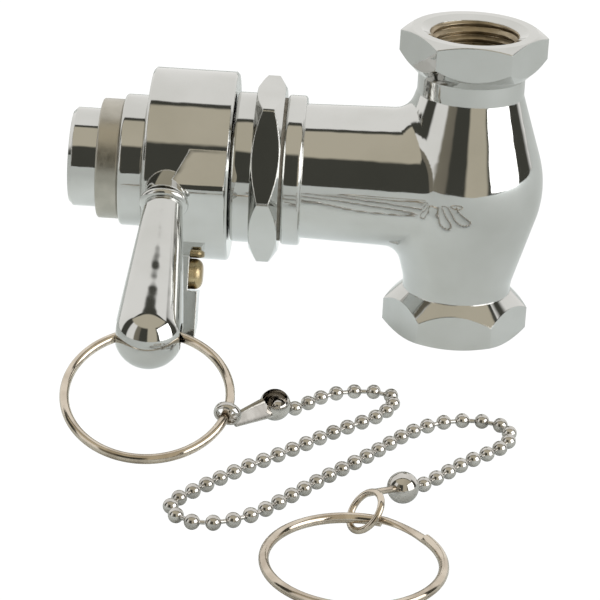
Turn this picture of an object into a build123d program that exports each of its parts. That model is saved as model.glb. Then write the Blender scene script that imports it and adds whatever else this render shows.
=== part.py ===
"""Self-closing shower valve with a pull chain.

Frame: millimetres, +Z up along the run, origin at the centre of the lower port's mouth.
The bonnet points along -X and the lever comes forward along -Y.
"""

import os
from math import acos, asin, atan2, cos, hypot, pi, radians, sin, sqrt

from build123d import *

# Fits
RUNNING_GAP = 0.05
THREAD_GAP = 0.04
FACE_GAP = 0.2
OVERLAP = 1.0

# Run of the valve body
RUN_HEIGHT = 71.5
PORT_RADIUS = 10.0
PORT_DEPTH = 14.0
MOUTH_RADIUS = 12.0
MOUTH_DEPTH = 0.9
BULGE_RADIUS = 17.85
BULGE_ROUND = 24.0
BULGE_DROP = 0.6
UPPER_NECK_RADIUS = 12.0
UPPER_NECK_LENGTH = 4.3
LOWER_NECK_RADIUS = 12.3
LOWER_NECK_LENGTH = 2.0
LOWER_NECK_ROUND = 10.0
PORT_HEX_CORNERS = 33.0
PORT_HEX_HEIGHT = 10.2
PORT_HEX_CHAMFER = 1.1
PORT_HEX_SHOULDER_SLOPE = 1.0
HEX_FACE_INSET = 0.2

# Side neck of the valve body, along the branch axis
BODY_END_X = -40.7
COLLAR_RADIUS = 17.0
COLLAR_LENGTH = 4.4
COLLAR_EDGE = 0.8
BRANCH_NECK_RADIUS = 15.2
BRANCH_FLARE_RADIUS = 16.2
BRANCH_FILLET = 5.0
SOCKET_RADIUS = 12.5
SOCKET_DEPTH = 10.7
CHAMBER_RADIUS = 11.0

# Seat, in the wall between the inlet chamber and the outlet
SEAT_WALL_X = -10.0
SEAT_WALL = 4.8
SEAT_THREAD_RADIUS = 8.0
SEAT_FLANGE_RADIUS = 9.2
SEAT_FLANGE_THICKNESS = 1.6
SEAT_BORE_RADIUS = 5.5
OUTLET_RADIUS = 7.3
OUTLET_END_X = 7.0
INLET_RADIUS = 3.0
INLET_TOP_X = -5.0
INLET_END_X = -14.0
INLET_END_RISE = 8.2

# Bonnet
GASKET_THICKNESS = 0.5
BONNET_HEX_CORNERS = 43.0
BONNET_HEX_LENGTH = 6.4
BONNET_HEX_CHAMFER = 2.0
SLEEVE_RADIUS = 17.0
SLEEVE_LENGTH = 4.4
SLEEVE_EDGE = 0.6
SPIGOT_LENGTH = 9.7
SPIGOT_BORE_RADIUS = 9.4
SPIGOT_BORE_DEPTH = 5.0
GUIDE_LENGTH = 8.0
PACKING_RADIUS = 7.5
PACKING_LENGTH = 3.4
TUBE_RADIUS = 12.0
TUBE_BORE_RADIUS = 8.6
TUBE_LENGTH = 30.4

# Lever hub
HUB_RADIUS = 21.4
HUB_LENGTH = 19.0
HUB_EDGE = 0.5
NOSE_HEIGHT = 5.6
NOSE_TOP_ANGLE = 28.0
NOSE_UNDER_ANGLE = 35.0
NOSE_SLOPE = 46.0
NOSE_LENGTH = 13.2
NOSE_ROUND = 2.5
ARM_ANGLE = 70.0
ARM_ROOT_WIDTH = 11.0
ARM_TIP_WIDTH = 7.0
ARM_LENGTH = 7.5
ARM_X = -66.0
BOSS_LENGTH = 12.8
BOSS_TAPER = 2.0

# Lever handle: a turned bat shape with its own axis
LEVER_X = -65.5
LEVER_STANDOFF = 5.6
LEVER_RISE = 0.85
LEVER_DROOP = 36.0
LEVER_LENGTH = 34.6
LEVER_BEAD_RADIUS = 5.4
LEVER_BEAD_LENGTH = 2.0
LEVER_NECK_RADIUS = 4.2
LEVER_MIDDLE_RADIUS = 5.7
LEVER_MIDDLE = 16.6
LEVER_END_RADIUS = 7.4
LEVER_STUD_RADIUS = 2.6
LEVER_STUD_LENGTH = 9.0
RING_HOLE_RADIUS = 2.8

# Brass pin in the lower arm
PIN_RADIUS = 2.0
PIN_HEAD_RADIUS = 3.4
PIN_HEAD_HEIGHT = 1.8
PIN_STANDOFF = 3.6

# Rings and cap at the end of the bonnet
RETAINER_RADIUS = 14.9
RETAINER_LENGTH = 6.0
RETAINER_EDGE = 0.8
LOCK_RING_RADIUS = 13.6
LOCK_RING_LENGTH = 5.1
LOCK_RING_EDGE = 0.5
CAP_RADIUS = 11.2
CAP_LENGTH = 6.6
CAP_EDGE = 0.9
CAP_SPIGOT_LENGTH = 1.6
CAP_WALL = 3.0

# Stem and closing parts
STEM_RADIUS = 4.0
STEM_END_X = -76.5
WASHER_RADIUS = 8.0
WASHER_THICKNESS = 2.5
HOLDER_RADIUS = 9.2
HOLDER_RIM = 1.6
HOLDER_BACK = 3.8
HOLDER_SOCKET_RADIUS = 3.0
HOLDER_SOCKET_DEPTH = 1.4
SCREW_RADIUS = 1.9
SCREW_HEAD_RADIUS = 3.6
SCREW_HEAD_HEIGHT = 1.6
SCREW_SLOT_WIDTH = 0.8
SCREW_SLOT_DEPTH = 0.8
CAM_PIN_RADIUS = 1.5
CAM_PIN_REACH = 14.2
CAM_PIN_X = -57.5
CAM_GAP = 0.35
CAM_STEPS = 9
STEM_LIFT = 4.0
LEVER_TURN = 45.0
SPRING_COLLAR_RADIUS = 8.2
SPRING_COLLAR_LENGTH = 2.0
SPRING_COLLAR_X = -65.0
SPRING_RADIUS = 6.4
SPRING_WIRE = 1.4
SPRING_TURNS = 4.5
SPRING_SEAT_GAP = 0.15

# Split rings, each two flat turns of wire joined by a short ramp
RING_OUTER_RADIUS = 18.3
RING_WIRE_WIDTH = 1.6
RING_WIRE_THICKNESS = 1.05
RING_WIRE_ROUND = 0.3
RING_TURN_GAP = 0.06
RING_RAMP_ANGLE = 30.0
RING_END_GAP = 3.0
LEVER_RING_SKEW = 5.0
LEVER_RING_SPLIT = 215.0
FLOOR_GAP = 0.02
PULL_RING_X = -18.4
PULL_RING_Y = -125.9
PULL_RING_LIFT = 1.7
PULL_RING_SPLIT = 33.0

# Ball chain, lying on the surface that the valve stands on
BEAD_RADIUS = 1.6
BEAD_PITCH = 4.23
LINK_RADIUS = 0.45
LINK_GAP = 0.03
CHAIN_ROUTE = [
    (-37.1, -57.8),
    (-33.6, -55.4),
    (-28.3, -48.7),
    (-20.5, -44.2),
    (-13.4, -45.3),
    (-13.5, -52.1),
    (-21.6, -62.8),
    (-33.1, -76.3),
    (-44.5, -89.4),
    (-52.1, -99.7),
    (-55.4, -107.1),
    (-51.5, -112.6),
    (-43.4, -111.3),
    (-34.5, -101.9),
    (-25.2, -88.0),
    (-15.3, -73.8),
    (-5.0, -59.8),
    (3.2, -55.8),
    (10.7, -57.5),
    (12.1, -64.2),
    (5.1, -74.5),
    (-2.6, -84.8),
    (-6.5, -90.0),
]

# Sheet coupling on the lever ring: an eye, a strap and an open cup round the first bead
CUP_RADIUS = 3.4
CUP_WALL = 0.5
CUP_INSET = 0.9
CUP_BEAD_DROP = 0.5
CUP_OPENING_RADIUS = 2.4
CUP_OPENING_TILT = 15.0
EYE_RADIUS = 2.5
EYE_WIRE = 1.4
EYE_ANGLE = -17.0
STRAP_EYE_WIDTH = 2.2
STRAP_CUP_WIDTH = 4.2
STRAP_THICKNESS = 0.9

# Bell coupling and the wire loop that holds the pull ring
BELL_RADIUS = 3.25
BELL_WALL = 0.5
BELL_STEP = 7.0
BELL_HOLE_GAP = 0.2
LOOP_RADIUS = 4.4
LOOP_WIRE = 1.1
LOOP_LEAN = 60.0
LOOP_TURN = 45.0
LOOP_RISE = 1.65
LOOP_ANGLE = 88.0
LOOP_HEAD_RADIUS = 1.1
LOOP_HEAD_THICKNESS = 0.6
LOOP_HEAD_GAP = 0.4

# Places worked out from the sizes above
BRANCH_Z = RUN_HEIGHT / 2
HEX_RIGHT_X = BODY_END_X - GASKET_THICKNESS
HEX_LEFT_X = HEX_RIGHT_X - BONNET_HEX_LENGTH
SLEEVE_LEFT_X = HEX_LEFT_X - SLEEVE_LENGTH
HUB_RIGHT_X = SLEEVE_LEFT_X - FACE_GAP
HUB_LEFT_X = HUB_RIGHT_X - HUB_LENGTH
TUBE_LEFT_X = SLEEVE_LEFT_X - TUBE_LENGTH
GUIDE_RIGHT_X = HEX_RIGHT_X + SPIGOT_LENGTH - SPIGOT_BORE_DEPTH
PACKING_RIGHT_X = GUIDE_RIGHT_X - GUIDE_LENGTH
PACKING_LEFT_X = PACKING_RIGHT_X - PACKING_LENGTH
RETAINER_RIGHT_X = HUB_LEFT_X - FACE_GAP
LOCK_RING_RIGHT_X = RETAINER_RIGHT_X - RETAINER_LENGTH
SEAT_FACE_X = SEAT_WALL_X - SEAT_FLANGE_THICKNESS
SEAT_RIGHT_X = SEAT_WALL_X + SEAT_WALL
WASHER_RIGHT_X = SEAT_FACE_X - RUNNING_GAP
WASHER_LEFT_X = WASHER_RIGHT_X - WASHER_THICKNESS
HOLDER_LEFT_X = WASHER_LEFT_X - HOLDER_BACK
LEVER_AXIS = Vector(0, -cos(radians(LEVER_DROOP)), -sin(radians(LEVER_DROOP)))
LEVER_ROOT = Vector(LEVER_X, -HUB_RADIUS - LEVER_STANDOFF, BRANCH_Z + LEVER_RISE)
RING_HOLE = LEVER_ROOT + LEVER_AXIS * LEVER_LENGTH
RING_MIDDLE_RADIUS = RING_OUTER_RADIUS - RING_WIRE_WIDTH / 2
RING_TURN_RISE = RING_WIRE_THICKNESS + RING_TURN_GAP
RING_HEIGHT = RING_TURN_RISE + RING_WIRE_THICKNESS


def turned_on_branch(points):
    """A solid of revolution about the branch axis, from (x, radius) corners."""
    face = make_face(Polyline(*points, close=True))
    return Pos(0, 0, BRANCH_Z) * revolve(face, axis=Axis.X)


def branch_cylinder(radius, left_x, right_x):
    """A round bar along the branch axis."""
    return turned_on_branch([(left_x, 0), (left_x, radius), (right_x, radius), (right_x, 0)])


def branch_ring(outer, inner, left_x, right_x):
    """A plain ring about the branch axis."""
    return branch_cylinder(outer, left_x, right_x) - branch_cylinder(inner, left_x, right_x)


def rounded_ring(outer, inner, left_x, right_x, edge):
    """A ring about the branch axis with its two outer edges rounded."""
    bar = branch_cylinder(outer, left_x, right_x)
    bar = fillet(bar.edges().filter_by(GeomType.CIRCLE), edge)
    return bar - branch_cylinder(inner, left_x, right_x)


def run_cylinder(radius, low_z, high_z):
    """A round bar along the run axis."""
    return Pos(0, 0, (low_z + high_z) / 2) * Cylinder(radius, high_z - low_z)


def bar_between(start, end, radius):
    """A round bar from one point to another."""
    return extrude(Plane(origin=start, z_dir=end - start) * Circle(radius), (end - start).length)


def chamfered_hexagon(corners, length, rise):
    """A hexagon along +Z from z = 0, with its corners turned off at both ends."""
    prism = extrude(RegularPolygon(corners / 2, 6), length)
    face_radius = corners * cos(pi / 6) / 2 - HEX_FACE_INSET
    corner_radius = corners / 2
    slope = (corner_radius - face_radius) / rise
    wide_radius = corner_radius + slope * rise
    profile = Polyline(
        (0, 0),
        (face_radius, 0),
        (wide_radius, 2 * rise),
        (wide_radius, length - 2 * rise),
        (face_radius, length),
        (0, length),
        close=True,
    )
    return prism & revolve(Plane.XZ * make_face(profile), axis=Axis.Z)


def make_port_hexagon(neck_radius):
    """A port's hexagon from its mouth at z = 0 up to the neck, with a sloping shoulder there."""
    prism = extrude(RegularPolygon(PORT_HEX_CORNERS / 2, 6), PORT_HEX_HEIGHT)
    corner_radius = PORT_HEX_CORNERS / 2
    face_radius = corner_radius * cos(pi / 6) - HEX_FACE_INSET
    mouth_slope = (corner_radius - face_radius) / PORT_HEX_CHAMFER
    wide_radius = corner_radius + OVERLAP
    mouth_z = (wide_radius - face_radius) / mouth_slope
    shoulder_z = PORT_HEX_HEIGHT - (wide_radius - neck_radius) * PORT_HEX_SHOULDER_SLOPE
    profile = Polyline(
        (0, 0),
        (face_radius, 0),
        (wide_radius, mouth_z),
        (wide_radius, shoulder_z),
        (neck_radius, PORT_HEX_HEIGHT),
        (0, PORT_HEX_HEIGHT),
        close=True,
    )
    return prism & revolve(Plane.XZ * make_face(profile), axis=Axis.Z)


def bulge_tangent(neck_radius, neck_z, side):
    """Where a line from the neck's end touches the bulge's arc, as (radius, z); side is +1 above."""
    centre_radius = BULGE_RADIUS - BULGE_ROUND
    centre_z = BRANCH_Z - BULGE_DROP
    across = neck_radius - centre_radius
    along = neck_z - centre_z
    angle = atan2(along, across) - side * acos(BULGE_ROUND / hypot(across, along))
    return centre_radius + BULGE_ROUND * cos(angle), centre_z + BULGE_ROUND * sin(angle)


def make_run():
    """The run between the hexagons: a slim neck, a straight flare and a round bulge, and back."""
    lower_z = PORT_HEX_HEIGHT
    upper_z = RUN_HEIGHT - PORT_HEX_HEIGHT
    waist_z = lower_z + LOWER_NECK_LENGTH
    bulge_top_z = upper_z - UPPER_NECK_LENGTH
    lower_touch = bulge_tangent(LOWER_NECK_RADIUS, waist_z, -1)
    upper_touch = bulge_tangent(UPPER_NECK_RADIUS, bulge_top_z, 1)
    necks = Polyline(
        upper_touch,
        (UPPER_NECK_RADIUS, bulge_top_z),
        (UPPER_NECK_RADIUS, upper_z + OVERLAP),
        (0, upper_z + OVERLAP),
        (0, lower_z - OVERLAP),
        (LOWER_NECK_RADIUS, lower_z - OVERLAP),
        (LOWER_NECK_RADIUS, waist_z),
        lower_touch,
    )
    bulge = ThreePointArc(lower_touch, (BULGE_RADIUS, BRANCH_Z - BULGE_DROP), upper_touch)
    section = make_face(necks + bulge)
    waist = section.vertices().sort_by_distance((LOWER_NECK_RADIUS, waist_z, 0))[0]
    section = fillet(waist, LOWER_NECK_ROUND)
    return revolve(Plane.XZ * section, axis=Axis.Z)


def make_valve_body():
    """The cast body: a bulged run with hexagon ports, a side neck, and the waterways inside."""
    neck_left_x = BODY_END_X + COLLAR_LENGTH
    neck = turned_on_branch(
        [
            (neck_left_x - OVERLAP, 0),
            (neck_left_x - OVERLAP, BRANCH_NECK_RADIUS),
            (0, BRANCH_FLARE_RADIUS),
            (0, 0),
        ]
    )
    body = make_run() + neck
    body = fillet(body.edges().filter_by(GeomType.BSPLINE), BRANCH_FILLET)
    collar = branch_cylinder(COLLAR_RADIUS, BODY_END_X, neck_left_x)
    collar = fillet(collar.edges().filter_by(GeomType.CIRCLE), COLLAR_EDGE)
    upper_hexagon = Pos(0, 0, RUN_HEIGHT) * Rot(180, 0, 0) * make_port_hexagon(UPPER_NECK_RADIUS)
    body = body + collar + make_port_hexagon(LOWER_NECK_RADIUS) + upper_hexagon

    mouth = Cone(MOUTH_RADIUS, PORT_RADIUS, MOUTH_DEPTH, align=(Align.CENTER, Align.CENTER, Align.MIN))
    port = run_cylinder(PORT_RADIUS, 0, PORT_DEPTH) + mouth
    body -= port
    body -= Pos(0, 0, RUN_HEIGHT) * Rot(180, 0, 0) * port

    socket_right_x = BODY_END_X + SOCKET_DEPTH
    body -= branch_cylinder(SOCKET_RADIUS, BODY_END_X, socket_right_x)
    body -= branch_cylinder(CHAMBER_RADIUS, socket_right_x, SEAT_WALL_X)
    body -= branch_cylinder(SEAT_THREAD_RADIUS + THREAD_GAP, SEAT_WALL_X, SEAT_RIGHT_X)
    body -= branch_cylinder(OUTLET_RADIUS, SEAT_RIGHT_X, OUTLET_END_X)
    body -= run_cylinder(OUTLET_RADIUS, PORT_DEPTH, BRANCH_Z)
    inlet_top = Vector(INLET_TOP_X, 0, RUN_HEIGHT - PORT_DEPTH + OVERLAP)
    inlet_end = Vector(INLET_END_X, 0, BRANCH_Z + INLET_END_RISE)
    body -= bar_between(inlet_top, inlet_end, INLET_RADIUS)
    return body


def make_seat_ring():
    """Screwed-in seat: a flange with a raised face and a threaded sleeve."""
    flange = branch_cylinder(SEAT_FLANGE_RADIUS, SEAT_FACE_X, SEAT_WALL_X)
    sleeve = branch_cylinder(SEAT_THREAD_RADIUS, SEAT_WALL_X, SEAT_RIGHT_X)
    return flange + sleeve - branch_cylinder(SEAT_BORE_RADIUS, SEAT_FACE_X, SEAT_RIGHT_X)


def make_bonnet():
    """Sleeve, wrench hexagon, spigot and hub tube in one turning, with two cam slots."""
    spigot_right_x = HEX_RIGHT_X + SPIGOT_LENGTH
    hexagon = chamfered_hexagon(BONNET_HEX_CORNERS, BONNET_HEX_LENGTH, BONNET_HEX_CHAMFER)
    bonnet = Pos(HEX_LEFT_X, 0, BRANCH_Z) * Rot(0, 90, 0) * hexagon
    sleeve = branch_cylinder(SLEEVE_RADIUS, SLEEVE_LEFT_X, HEX_LEFT_X + OVERLAP)
    bonnet += fillet(sleeve.edges().filter_by(GeomType.CIRCLE).sort_by(Axis.X)[0], SLEEVE_EDGE)
    bonnet += branch_cylinder(SOCKET_RADIUS - THREAD_GAP, HEX_RIGHT_X - OVERLAP, spigot_right_x)
    bonnet += branch_cylinder(TUBE_RADIUS, TUBE_LEFT_X, SLEEVE_LEFT_X + OVERLAP)
    bonnet -= branch_cylinder(SPIGOT_BORE_RADIUS, GUIDE_RIGHT_X, spigot_right_x)
    bonnet -= branch_cylinder(STEM_RADIUS + RUNNING_GAP, PACKING_RIGHT_X, GUIDE_RIGHT_X)
    bonnet -= branch_cylinder(PACKING_RADIUS, SLEEVE_LEFT_X, PACKING_RIGHT_X)
    bonnet -= branch_cylinder(TUBE_BORE_RADIUS, TUBE_LEFT_X, SLEEVE_LEFT_X)
    for step in range(CAM_STEPS):
        share = step / (CAM_STEPS - 1)
        slot = Cylinder(CAM_PIN_RADIUS + CAM_GAP, 2 * (TUBE_RADIUS + OVERLAP))
        slot_x = CAM_PIN_X - share * STEM_LIFT
        bonnet -= Pos(slot_x, 0, BRANCH_Z) * Rot(share * LEVER_TURN, 0, 0) * slot
    return bonnet


def make_nose():
    """The hub's sloping front, between the lever and the bonnet's sleeve."""
    top_angle = radians(NOSE_TOP_ANGLE)
    under_angle = radians(NOSE_UNDER_ANGLE)
    reach = HUB_RADIUS + NOSE_HEIGHT
    top_y = -HUB_RADIUS * cos(top_angle)
    top_z = HUB_RADIUS * sin(top_angle)
    tip_z = top_z - (reach + top_y) / sin(radians(NOSE_SLOPE)) * cos(radians(NOSE_SLOPE))
    under = (-HUB_RADIUS * cos(under_angle), -HUB_RADIUS * sin(under_angle))
    section = make_face(Polyline((top_y, top_z), (-reach, tip_z), under, (0, 0), close=True))
    nose = extrude(Plane.YZ * section, NOSE_LENGTH)
    nose = fillet(nose.edges().filter_by(Axis.X).sort_by(Axis.Y)[0], NOSE_ROUND)
    return Pos(HUB_RIGHT_X - HUB_EDGE - NOSE_LENGTH, 0, BRANCH_Z) * nose


def make_arm():
    """The hub's lower arm, tapered and cut level where the valve stands on it."""
    direction = Vector(0, -cos(radians(ARM_ANGLE)), -sin(radians(ARM_ANGLE)))
    reach = BRANCH_Z / sin(radians(ARM_ANGLE)) + ARM_TIP_WIDTH
    outline = Polyline(
        (0, ARM_ROOT_WIDTH / 2),
        (reach, ARM_TIP_WIDTH / 2),
        (reach, -ARM_TIP_WIDTH / 2),
        (0, -ARM_ROOT_WIDTH / 2),
        close=True,
    )
    plane = Plane(origin=(ARM_X, 0, BRANCH_Z), x_dir=direction, z_dir=(1, 0, 0))
    arm = extrude(plane * make_face(outline), ARM_LENGTH)
    above_floor = Pos(ARM_X, 0, BRANCH_Z / 2) * Box(4 * ARM_LENGTH, 4 * BRANCH_Z, BRANCH_Z)
    return arm & above_floor


def make_lever_hub():
    """The cast hub: a thick drum with a sloping nose, a lower arm and the lever's boss."""
    drum = branch_cylinder(HUB_RADIUS, HUB_LEFT_X, HUB_RIGHT_X)
    drum = chamfer(drum.edges().filter_by(GeomType.CIRCLE), HUB_EDGE)
    boss_plane = Plane(origin=LEVER_ROOT, z_dir=-LEVER_AXIS)
    boss = extrude(boss_plane * Circle(LEVER_BEAD_RADIUS), BOSS_LENGTH, taper=-BOSS_TAPER)
    hub = drum + make_nose() + make_arm() + boss

    hub -= branch_cylinder(TUBE_RADIUS + RUNNING_GAP, HUB_LEFT_X, HUB_RIGHT_X)
    key_right_x = CAM_PIN_X + CAM_PIN_RADIUS + CAM_GAP
    key = Box(key_right_x - HUB_LEFT_X, 2 * (CAM_PIN_RADIUS + CAM_GAP), 2 * (CAM_PIN_REACH + CAM_GAP))
    hub -= Pos((key_right_x + HUB_LEFT_X) / 2, 0, BRANCH_Z) * key
    stud_end = LEVER_ROOT - LEVER_AXIS * LEVER_STUD_LENGTH
    hub -= bar_between(LEVER_ROOT, stud_end, LEVER_STUD_RADIUS + THREAD_GAP)
    spot_face_end = LEVER_ROOT + LEVER_AXIS * BOSS_LENGTH
    hub -= bar_between(LEVER_ROOT, spot_face_end, LEVER_BEAD_RADIUS + FACE_GAP)
    hub -= arm_pin_place() * Pos(0, 0, -ARM_LENGTH / 2) * Cylinder(PIN_RADIUS + THREAD_GAP, ARM_LENGTH)
    return hub


def arm_pin_place():
    """The brass pin's axis, along +X from the lower arm's right face."""
    reach = HUB_RADIUS + PIN_STANDOFF
    y = -reach * cos(radians(ARM_ANGLE))
    z = BRANCH_Z - reach * sin(radians(ARM_ANGLE))
    return Pos(ARM_X + ARM_LENGTH, y, z) * Rot(0, 90, 0)


def make_stop_pin():
    """Brass pin: a shank through the arm and a domed head."""
    shank = Pos(0, 0, -ARM_LENGTH / 2) * Cylinder(PIN_RADIUS, ARM_LENGTH)
    dome_radius = (PIN_HEAD_RADIUS**2 + PIN_HEAD_HEIGHT**2) / (2 * PIN_HEAD_HEIGHT)
    half_angle = atan2(PIN_HEAD_RADIUS, dome_radius - PIN_HEAD_HEIGHT) / 2
    middle = (dome_radius * sin(half_angle), PIN_HEAD_HEIGHT - dome_radius * (1 - cos(half_angle)))
    head = make_face(
        Polyline((0, PIN_HEAD_HEIGHT), (0, 0), (PIN_HEAD_RADIUS, 0))
        + ThreePointArc((PIN_HEAD_RADIUS, 0), middle, (0, PIN_HEAD_HEIGHT))
    )
    return arm_pin_place() * (shank + revolve(Plane.XZ * head, axis=Axis.Z))


def make_lever_handle():
    """A bat turned about the lever's axis: stud, bead, slim neck and a round end with a cross hole."""
    end = LEVER_LENGTH
    diagonal = LEVER_END_RADIUS * cos(pi / 4)
    bead_foot = LEVER_BEAD_RADIUS - LEVER_BEAD_LENGTH / 2
    stud = Polyline(
        (0, end + LEVER_END_RADIUS),
        (0, -LEVER_STUD_LENGTH),
        (LEVER_STUD_RADIUS, -LEVER_STUD_LENGTH),
        (LEVER_STUD_RADIUS, 0),
        (bead_foot, 0),
    )
    bead = ThreePointArc(
        (bead_foot, 0), (LEVER_BEAD_RADIUS, LEVER_BEAD_LENGTH / 2), (bead_foot, LEVER_BEAD_LENGTH)
    )
    shoulder = Line((bead_foot, LEVER_BEAD_LENGTH), (LEVER_NECK_RADIUS, LEVER_BEAD_LENGTH))
    grip = Spline(
        (LEVER_NECK_RADIUS, LEVER_BEAD_LENGTH),
        (LEVER_MIDDLE_RADIUS, LEVER_MIDDLE),
        (LEVER_END_RADIUS, end),
        tangents=[(0, 1), (0, 1)],
    )
    tip = ThreePointArc((LEVER_END_RADIUS, end), (diagonal, end + diagonal), (0, end + LEVER_END_RADIUS))
    bat = revolve(Plane.XZ * make_face(stud + bead + shoulder + grip + tip), axis=Axis.Z)
    bat -= Pos(0, 0, end) * Rot(0, 90, 0) * Cylinder(RING_HOLE_RADIUS, 4 * LEVER_END_RADIUS)
    return Plane(origin=LEVER_ROOT, x_dir=(1, 0, 0), z_dir=LEVER_AXIS) * bat


def make_end_cap():
    """Round cap with a spigot that closes the tube, hollow for the stem's end."""
    left_x = TUBE_LEFT_X - CAP_LENGTH
    spigot_radius = TUBE_BORE_RADIUS - THREAD_GAP
    spigot_right_x = TUBE_LEFT_X + CAP_SPIGOT_LENGTH
    hollow_radius = STEM_RADIUS + FACE_GAP
    return turned_on_branch(
        [
            (left_x, 0),
            (left_x, CAP_RADIUS - CAP_EDGE),
            (left_x + CAP_EDGE, CAP_RADIUS),
            (TUBE_LEFT_X, CAP_RADIUS),
            (TUBE_LEFT_X, spigot_radius),
            (spigot_right_x, spigot_radius),
            (spigot_right_x, hollow_radius),
            (left_x + CAP_WALL, hollow_radius),
            (left_x + CAP_WALL, 0),
        ]
    )


def make_stem():
    """Round spindle with a nose that fits the disc holder and a hole for the cam pin."""
    nose_right_x = HOLDER_LEFT_X + HOLDER_SOCKET_DEPTH
    stem = branch_cylinder(STEM_RADIUS, STEM_END_X, HOLDER_LEFT_X)
    stem += branch_cylinder(HOLDER_SOCKET_RADIUS - THREAD_GAP, HOLDER_LEFT_X - OVERLAP, nose_right_x)
    stem -= Pos(CAM_PIN_X, 0, BRANCH_Z) * Cylinder(CAM_PIN_RADIUS + THREAD_GAP, 4 * STEM_RADIUS)
    return stem


def make_disc_holder():
    """Brass cup that holds the washer on the stem."""
    holder = branch_cylinder(HOLDER_RADIUS, HOLDER_LEFT_X, WASHER_LEFT_X + HOLDER_RIM)
    holder -= branch_cylinder(WASHER_RADIUS + THREAD_GAP, WASHER_LEFT_X, WASHER_LEFT_X + HOLDER_RIM)
    holder -= branch_cylinder(HOLDER_SOCKET_RADIUS, HOLDER_LEFT_X, HOLDER_LEFT_X + HOLDER_SOCKET_DEPTH)
    holder -= branch_cylinder(SCREW_RADIUS + THREAD_GAP, HOLDER_LEFT_X, WASHER_LEFT_X)
    return holder


def make_washer_screw():
    """Slotted screw that clamps the washer in its holder."""
    head_right_x = WASHER_RIGHT_X + SCREW_HEAD_HEIGHT
    screw = branch_cylinder(SCREW_HEAD_RADIUS, WASHER_RIGHT_X, head_right_x)
    screw += branch_cylinder(SCREW_RADIUS, HOLDER_LEFT_X + HOLDER_SOCKET_DEPTH, head_right_x)
    slot = Box(2 * SCREW_SLOT_DEPTH, 3 * SCREW_HEAD_RADIUS, SCREW_SLOT_WIDTH)
    return screw - Pos(head_right_x, 0, BRANCH_Z) * slot


def make_return_spring():
    """Coil spring between the stem's collar and the end cap."""
    inset = SPRING_SEAT_GAP + SPRING_WIRE / 2
    right_x = SPRING_COLLAR_X - SPRING_COLLAR_LENGTH - inset
    left_x = TUBE_LEFT_X + CAP_SPIGOT_LENGTH + inset
    length = right_x - left_x
    path = Helix(pitch=length / SPRING_TURNS, height=length, radius=SPRING_RADIUS)
    section = Plane(origin=path @ 0, z_dir=path % 0) * Circle(SPRING_WIRE / 2)
    coil = sweep(section, path=path, is_frenet=True)
    return Pos(left_x, 0, BRANCH_Z) * Rot(0, 90, 0) * coil


def make_split_ring(split_angle):
    """Two flat turns of wire joined by a ramp at one angle; the ring's middle is at the origin."""
    wire = RectangleRounded(RING_WIRE_WIDTH, RING_WIRE_THICKNESS, RING_WIRE_ROUND)
    section = Plane.XZ * Pos(RING_MIDDLE_RADIUS, 0) * wire
    turn = revolve(section, axis=Axis.Z, revolution_arc=360 - RING_RAMP_ANGLE - RING_END_GAP)
    path = Helix(
        pitch=RING_TURN_RISE * 360 / RING_RAMP_ANGLE, height=RING_TURN_RISE, radius=RING_MIDDLE_RADIUS
    )
    ramp = Rot(0, 0, -RING_RAMP_ANGLE / 2) * sweep(section, path=path, is_frenet=True)
    lower = Rot(0, 0, RING_RAMP_ANGLE / 2 + RING_END_GAP) * turn
    upper = Pos(0, 0, RING_TURN_RISE) * Rot(0, 0, RING_RAMP_ANGLE / 2) * turn
    ring = lower + ramp + upper
    return Rot(0, 0, split_angle) * Pos(0, 0, -RING_TURN_RISE / 2) * ring


def lever_ring_place():
    """The lever ring's place: back arc in the lever's hole, front edge down on the floor."""
    sagitta = RING_MIDDLE_RADIUS - sqrt(RING_MIDDLE_RADIUS**2 - LEVER_END_RADIUS**2)
    reach = RING_MIDDLE_RADIUS - sagitta / 2
    span = reach * cos(radians(LEVER_RING_SKEW)) + RING_OUTER_RADIUS
    tilt = asin((RING_HOLE.Z - FLOOR_GAP) / hypot(span, RING_HEIGHT / 2)) - atan2(RING_HEIGHT / 2, span)
    plane = Plane(origin=RING_HOLE, x_dir=(1, 0, 0), z_dir=(0, -sin(tilt), cos(tilt)))
    return plane.location * Rot(0, 0, LEVER_RING_SKEW) * Pos(0, -reach, 0)


def pull_ring_place():
    """The pull ring's place: its front on the floor, its back lifted by the wire loop."""
    tilt = asin(PULL_RING_LIFT / (2 * RING_OUTER_RADIUS))
    middle_z = FLOOR_GAP + RING_OUTER_RADIUS * sin(tilt) + RING_HEIGHT / 2 * cos(tilt)
    middle = (PULL_RING_X, PULL_RING_Y, middle_z)
    return Plane(origin=middle, x_dir=(1, 0, 0), z_dir=(0, -sin(tilt), cos(tilt))).location


def wire_point(place, angle):
    """The point of a placed ring's wire at an angle from the ring's own +X."""
    x = RING_MIDDLE_RADIUS * cos(radians(angle))
    y = RING_MIDDLE_RADIUS * sin(radians(angle))
    return (place * Pos(x, y, 0)).position


def chain_points():
    """Bead centres, as many as the route takes one pitch apart; the first is raised into the cup."""
    route = Spline(*[(x, y, BEAD_RADIUS) for x, y in CHAIN_ROUTE])
    steps = int(route.length / BEAD_PITCH)
    points = [route @ (step * BEAD_PITCH / route.length) for step in range(steps + 1)]
    points[0] = Vector(points[0].X, points[0].Y, CUP_RADIUS - CUP_BEAD_DROP)
    return points


def bell_centre(points):
    """The bell's middle, in line with the last two beads and resting on the floor."""
    centre = points[-1] + (points[-1] - points[-2]).normalized() * BELL_STEP
    return Vector(centre.X, centre.Y, BELL_RADIUS)


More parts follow.
